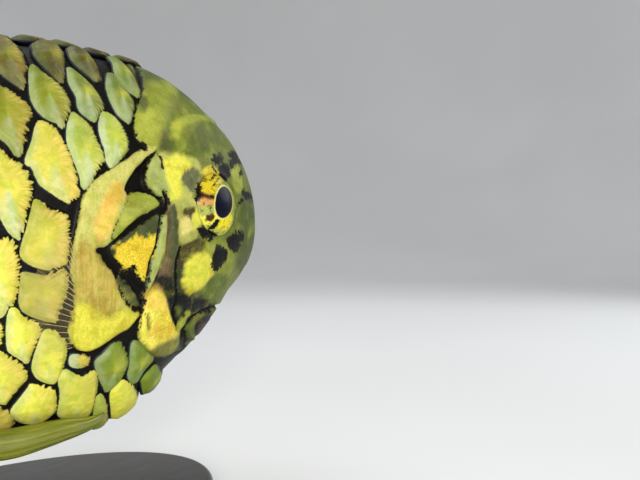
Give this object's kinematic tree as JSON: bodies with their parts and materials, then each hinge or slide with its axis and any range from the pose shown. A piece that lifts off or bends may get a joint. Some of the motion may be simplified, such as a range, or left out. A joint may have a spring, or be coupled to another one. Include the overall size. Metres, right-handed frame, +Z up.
{
  "type": "pinecone fish model on a display stand",
  "caption": "Life-size pinecone fish with deep body, bony plates, alternating dorsal spines, large pelvic spines and small fins, held by one rod over an oval base.",
  "frame": {"origin": "middle of the model's bounding box in plan, on the underside of the stand's base", "axes": "+X towards the snout, +Z up, +Y to the fish's left flank; the picture shows the right flank, at -Y"},
  "size_m": [0.1976, 0.084, 0.1479],
  "materials": {
    "scutes": "satin yellow bony plates with ragged black margins",
    "head_bone": "olive to yellow rough bone with black blotches and translucent olive hollows on top",
    "jaw_bone": "golden granular bone with black sutures",
    "gill_cover": "golden granular gill cover edged in black",
    "eye": "clear wet cornea over a navy pupil and a gold and brown iris",
    "fin": "thin translucent tan membrane over fine rays",
    "pelvic_spine": "olive-yellow streaked spine",
    "stand_base": "satin black display base",
    "stand_rod": "brushed steel"
  },
  "bodies": {
    "root": {"head": "head_bone", "lower_jaw": "jaw_bone", "eye_right": "eye", "eye_left": "eye", "opercle_right": "gill_cover", "opercle_left": "gill_cover", "torso": "scutes", "tail_stalk": "scutes", "soft_dorsal_fin": "fin", "anal_fin": "fin", "caudal_fin": "fin", "pectoral_fin_right": "fin", "pectoral_fin_left": "fin", "pelvic_spine_right": "pelvic_spine", "pelvic_spine_left": "pelvic_spine", "stand_base": "stand_base", "stand_rod": "stand_rod"}
  },
  "joints": []
}
